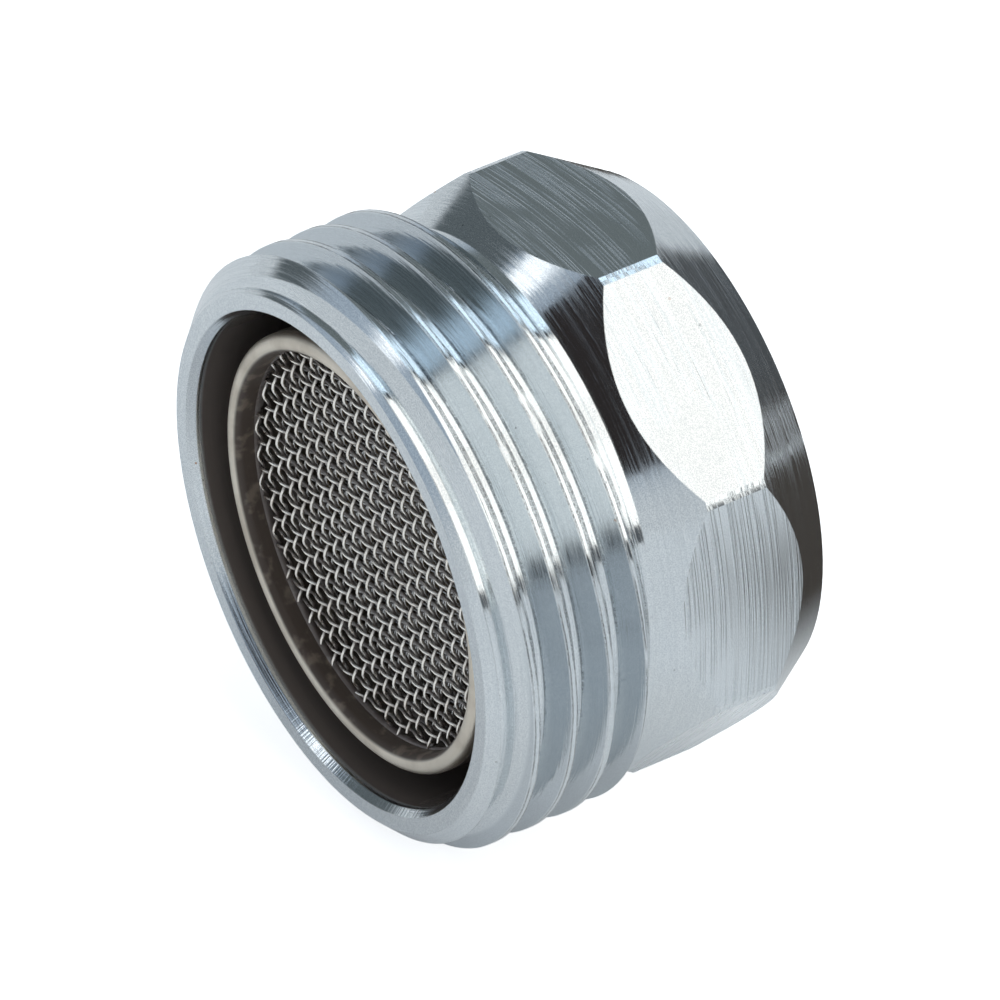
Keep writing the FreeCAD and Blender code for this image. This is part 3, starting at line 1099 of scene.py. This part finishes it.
        # the floor seen in reflections gets a dark cloth; close behind the object it is painted shade
        cloth_and_shade = sketch.math(Blend.SUBTRACT, spread_out, gap)
        cloth_and_shade = sketch.times(cloth_and_shade, sides, rays.outputs["Is Glossy Ray"])
        paper = sketch.node("ShaderNodeBsdfDiffuse")
        sketch.feed(paper.inputs["Color"], sketch.shade(cloth_and_shade, self.floor_colour, self.dark_cloth_and_shade))
        glow = sketch.node("ShaderNodeEmission")
        seen = sketch.times(rays.outputs["Is Camera Ray"], self.floor_lift)
        pale = sketch.math(Blend.SUBTRACT, rays.outputs["Is Glossy Ray"], cloth_and_shade)
        mirrored = sketch.times(pale, self.floor_sheen)
        sketch.feed(glow.inputs["Strength"], sketch.math(Blend.ADD, seen, mirrored))
        both = sketch.node("ShaderNodeAddShader")
        sketch.feed(both.inputs[0], paper.outputs[0])
        sketch.feed(both.inputs[1], glow.outputs[0])
        output = sketch.node("ShaderNodeOutputMaterial")
        sketch.feed(output.inputs["Surface"], both.outputs[0])
        mesh.materials.append(material)
        floor = bpy.data.objects.new("studio_floor", mesh)
        bpy.context.scene.collection.objects.link(floor)
        floor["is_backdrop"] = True
        return floor


@dataclass(frozen=True)
class ProductCamera:
    """The long lens that looks down on the outlet from the right."""

    azimuth: float = 59.386
    elevation: float = 34.288
    roll: float = -3.816
    distance: float = 578.5
    aim: tuple[float, float, float] = (2.6165, -5.6407, 1.8204)
    focal_pixels: float = 14001.0
    frame_pixels: float = 1000.0
    sensor: float = 36.0

    def place(self) -> bpy.types.Object:
        """Sets the camera up.

        Returns:
            The camera.
        """
        around = math.radians(self.azimuth)
        above = math.radians(self.elevation)
        tilt = math.radians(self.roll)
        back = Vector((
            math.sin(around) * math.cos(above), -math.cos(around) * math.cos(above), math.sin(above)
        ))
        level = Vector((math.cos(around), math.sin(around), 0.0))
        right = level * math.cos(tilt) + back.cross(level) * math.sin(tilt)
        up = back.cross(right)
        spot = (Vector(self.aim) + back * self.distance) * MM
        data = bpy.data.cameras.new("product_camera")
        data.sensor_width = self.sensor
        data.lens = self.focal_pixels * self.sensor / self.frame_pixels
        data.clip_start = 0.01
        data.clip_end = 10.0
        camera = bpy.data.objects.new("product_camera", data)
        turn = Matrix((right, up, back)).transposed().to_4x4()
        camera.matrix_world = Matrix.Translation(spot) @ turn
        bpy.context.scene.collection.objects.link(camera)
        bpy.context.scene.camera = camera
        return camera


def dress(node: bpy.types.Object, material: bpy.types.Material) -> None:
    """Gives a node of the frame its finish.

    Args:
        node: the node's object.
        material: the finish.
    """
    if not node.material_slots:
        node.data.materials.append(material)
    for place in node.material_slots:
        place.material = material
    LOG.info("dressed %s in %s", node.name, material.name)


def wire_finish(node: str, colour: Colour, stain: Colour) -> bpy.types.Material:
    """The finish of one screen: bright where its wires stand forward, painted dark in its depth as painted
    shade.

    Args:
        node: the screen's node.
        colour: the wire's colour, darker for the deeper screens as painted shade.
        stain: the stained wire.

    Returns:
        The finish.
    """
    low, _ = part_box(node)
    front = low[1] / MM - OUTLET_FACE_Y
    return MetalFinish(
        name=node + "_wire",
        colour=colour,
        stain=stain,
        roughness=0.16,
        worn=0.3,
        lines_per_mm=12.0,
        mark_height=0.004,
        # behind the screen's front and out by its rim the wires are painted dark as painted shade
        unshaded_until=front + 0.07,
        unshaded_to_radius=8.85,
        depth_shade=(0.21, 0.175, 0.16, 1.0),
        depth_shade_pale=(0.34, 0.31, 0.29, 1.0),
    ).build()


def weave_screens(finishes: dict[str, bpy.types.Material]) -> list[bpy.types.Object]:
    """Weaves the three screens, their wires parallel but not in line.

    Args:
        finishes: the finish of each screen, by node.

    Returns:
        The screens.
    """
    screens = []
    for node, anchor, wire in (
        ("outlet_screen", (-2.04, -2.265), 0.15),
        ("middle_screen", (-2.166, -2.564), 0.12),
        ("inner_screen", (-2.214, -2.357), 0.12),
    ):
        screens.append(WovenScreen(
            node=node,
            weft_angle=math.radians(4.9),
            warp_angle=math.radians(-90.4),
            weft_pitch=0.695,
            warp_pitch=0.834,
            anchor=anchor,
            wire=wire,
        ).build(finishes[node]))
    return screens


def main() -> None:
    """Loads the frame, dresses it, weaves the screens and sets the studio."""
    logging.basicConfig(level=logging.INFO, format="%(name)s: %(message)s")
    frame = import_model()
    finishes = {
        Slot.CHROME.value: ChromeFinish().build(),
        Slot.SLEEVE.value: MetalFinish(
            name="dull_nickel",
            colour=(0.80, 0.73, 0.63, 1.0),
            stain=(0.66, 0.59, 0.50, 1.0),
            roughness=0.40,
            worn=0.52,
            # from 1.5 mm in to 9.6 mm, and on its inner face, the sleeve is painted dark as painted shade
            unshaded_until=1.5,
            unshaded_again_from=9.6,
            unshaded_from_radius=9.06,
        ).build(),
        Slot.WIRE.value: wire_finish("outlet_screen", (1.0, 0.95, 0.88, 1.0), (0.92, 0.85, 0.77, 1.0)),
        Slot.RING.value: MetalFinish(
            name="plain_ring",
            colour=(0.20, 0.18, 0.15, 1.0),
            stain=(0.12, 0.10, 0.085, 1.0),
            roughness=0.4,
            worn=0.6,
        ).build(),
        Slot.BRASS.value: MetalFinish(
            name="turned_brass",
            colour=(0.42, 0.30, 0.15, 1.0),
            stain=(0.26, 0.18, 0.09, 1.0),
            roughness=0.3,
            worn=0.5,
        ).build(),
        Slot.RUBBER.value: RubberFinish().build(),
    }
    for part in frame["record"]["subparts"]:
        dress(frame["nodes"][part["node"]], finishes[part["material_slot"]])
    weave_screens({
        "outlet_screen": finishes[Slot.WIRE.value],
        # the middle and inner screens get darker wire colours: painted shade under the outlet screen
        "middle_screen": wire_finish("middle_screen", (0.86, 0.84, 0.81, 1.0), (0.66, 0.64, 0.61, 1.0)),
        "inner_screen": wire_finish("inner_screen", (0.74, 0.74, 0.74, 1.0), (0.54, 0.53, 0.52, 1.0)),
    })
    RolledLip().build(finishes[Slot.SLEEVE.value])
    TapThread().build(finishes[Slot.CHROME.value])
    studio = Studio()
    studio.surroundings()
    studio.floor()
    ProductCamera().place()
    bpy.context.scene.view_settings.view_transform = "Standard"


if __name__ == "__main__":
    main()
